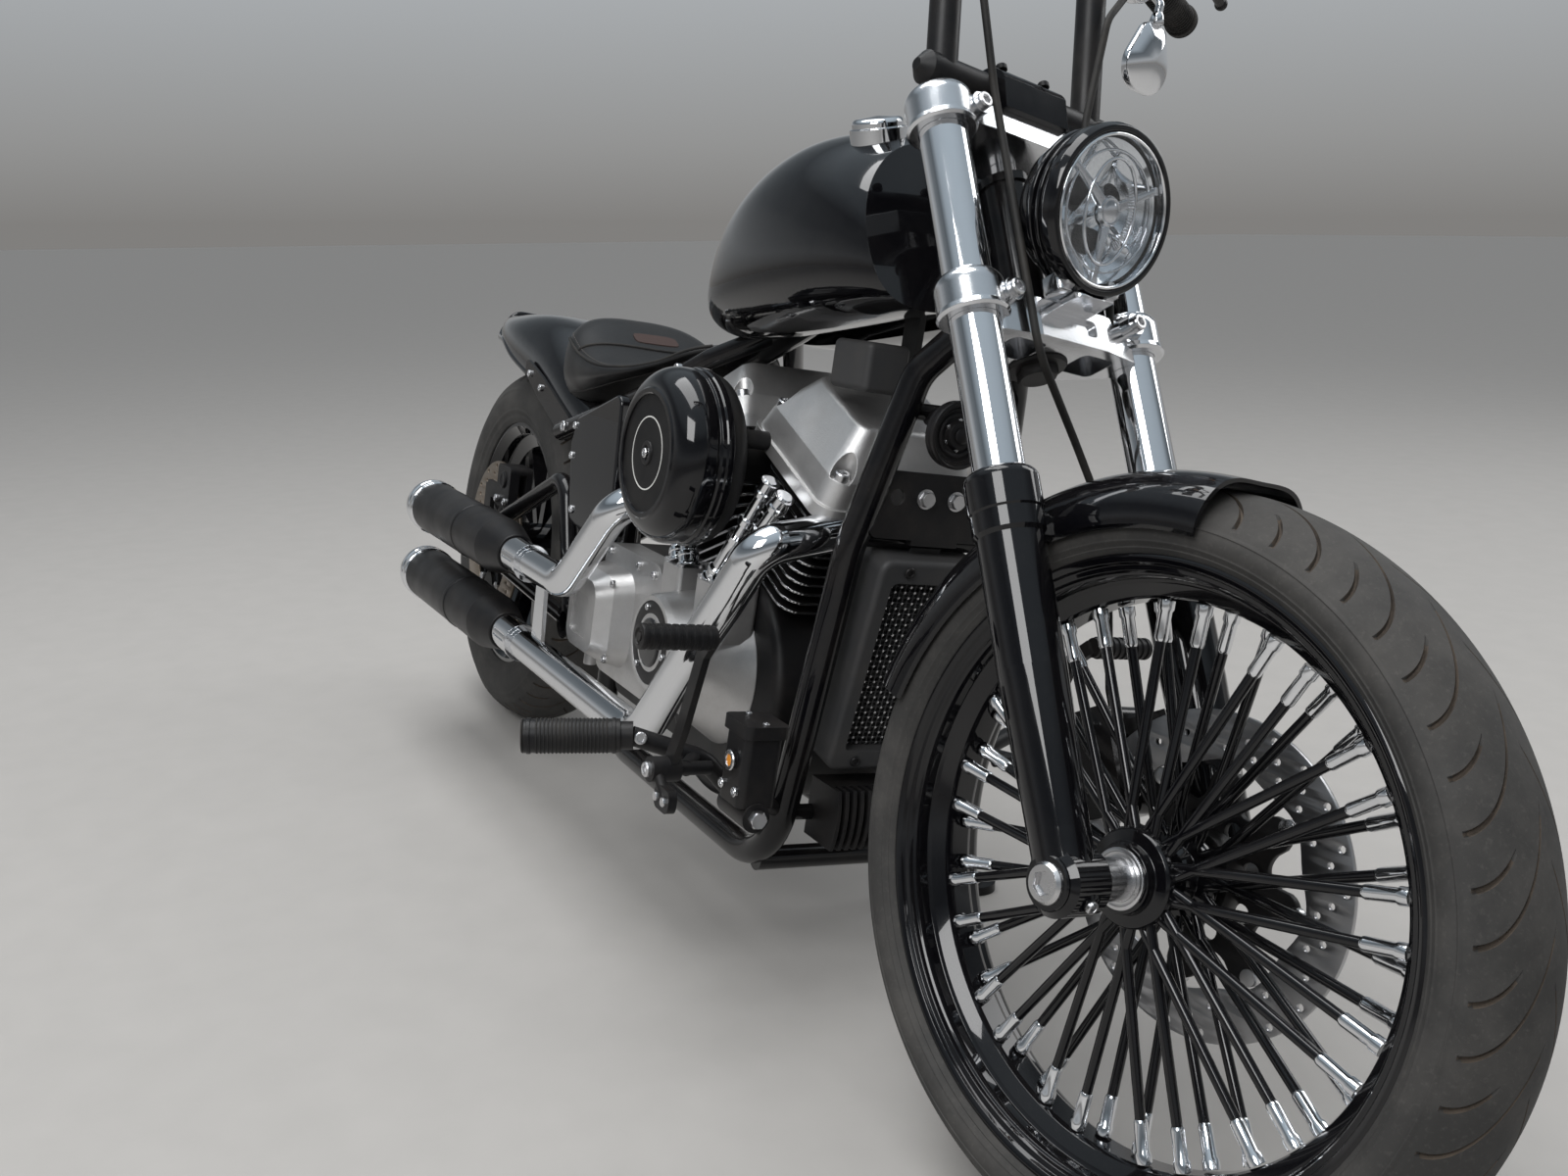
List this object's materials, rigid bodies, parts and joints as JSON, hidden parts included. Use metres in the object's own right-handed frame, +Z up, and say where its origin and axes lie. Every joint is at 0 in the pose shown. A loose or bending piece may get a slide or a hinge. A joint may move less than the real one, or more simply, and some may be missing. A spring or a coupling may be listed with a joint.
{
  "type": "chopper motorcycle",
  "caption": "Custom V-twin cruiser on its side stand, with tall bars, fat-spoked front wheel, bobbed rear fender, solo seat and two stacked exhausts.",
  "frame": {"origin": "on the floor under the middle of the parked bike's box", "axes": "+X forward, +Y to the rider's left, +Z up"},
  "size_m": [2.2951, 0.944, 1.3495],
  "materials": {
    "tyre_rubber": "matte black-brown tyre rubber",
    "gloss_black": "deep gloss black paint",
    "satin_black": "satin black coating",
    "chrome": "bright chrome",
    "polished_alloy": "polished aluminium",
    "cast_alloy": "fine cast aluminium",
    "disc_steel": "turned steel disc",
    "axle_steel": "bright steel",
    "black_plastic": "dark grey moulded plastic",
    "seat_leather": "black leather with a brown inset",
    "grip_rubber": "black rubber",
    "lamp_glass": "clear lamp glass",
    "belt_rubber": "black toothed belt"
  },
  "bodies": {
    "front_wheel": {"front_tyre": "tyre_rubber", "front_rim": "gloss_black", "front_hub_spokes": "gloss_black", "front_disc": "disc_steel"},
    "rear_wheel": {"rear_tyre": "tyre_rubber", "rear_wheel_casting": "gloss_black", "rear_disc": "disc_steel", "rear_pulley": "gloss_black"},
    "steering": {"fork_tubes": "chrome", "front_fender": "gloss_black", "fork_lowers": "gloss_black", "front_axle": "axle_steel", "lower_clamp": "polished_alloy", "upper_clamp": "polished_alloy", "headlamp_shell": "gloss_black", "headlamp_lens": "lamp_glass", "handlebar": "satin_black", "bar_risers": "satin_black", "grips": "grip_rubber", "bar_controls": "satin_black", "hand_levers": "satin_black", "mirrors": "chrome", "indicators": "satin_black", "front_caliper": "gloss_black", "control_cables": "grip_rubber"},
    "chassis": {"frame": "gloss_black", "swingarm": "gloss_black", "rear_axle": "axle_steel", "fuel_tank": "gloss_black", "fuel_cap": "chrome", "rear_fender": "gloss_black", "seat": "seat_leather", "crankcase": "gloss_black", "cylinders": "gloss_black", "rocker_covers": "cast_alloy", "cam_cover": "cast_alloy", "pushrod_tubes": "chrome", "transmission_cover": "cast_alloy", "primary_cover": "gloss_black", "air_cleaner_cover": "gloss_black", "air_cleaner_base": "black_plastic", "exhaust_pipes": "chrome", "mufflers": "satin_black", "side_covers": "gloss_black", "fender_struts": "gloss_black", "oil_cooler": "black_plastic", "voltage_regulator": "satin_black", "horn": "satin_black", "horn_bracket": "satin_black", "coil_cover": "black_plastic", "footpegs": "gloss_black", "brake_pedal": "gloss_black", "shift_lever": "gloss_black", "brake_master_cylinder": "satin_black", "rear_caliper": "gloss_black", "drive_belt": "belt_rubber", "stand_bracket": "gloss_black"},
    "side_stand": {"side_stand": "gloss_black"}
  },
  "joints": [
    {"name": "rear_wheel_spin", "type": "hinge", "parent": "chassis", "child": "rear_wheel", "pos_m": [-0.82467, -0.08643, 0.31981], "axis": [0, 0.9863, -0.165], "continuous": true},
    {"name": "steering_turn", "type": "hinge", "parent": "chassis", "child": "steering", "pos_m": [0.49794, -0.00489, 0.80709], "axis": [-0.4984, 0.1431, 0.8551], "range_deg": [-38, 22]},
    {"name": "front_wheel_spin", "type": "hinge", "parent": "steering", "child": "front_wheel", "pos_m": [0.80512, -0.07935, 0.33724], "axis": [-0.1207, 0.9652, -0.2319], "continuous": true},
    {"name": "side_stand_fold", "type": "hinge", "parent": "chassis", "child": "side_stand", "pos_m": [0.16005, 0.03596, 0.14236], "axis": [0.1118, 0.7331, 0.6709], "range_deg": [0, 95]}
  ]
}
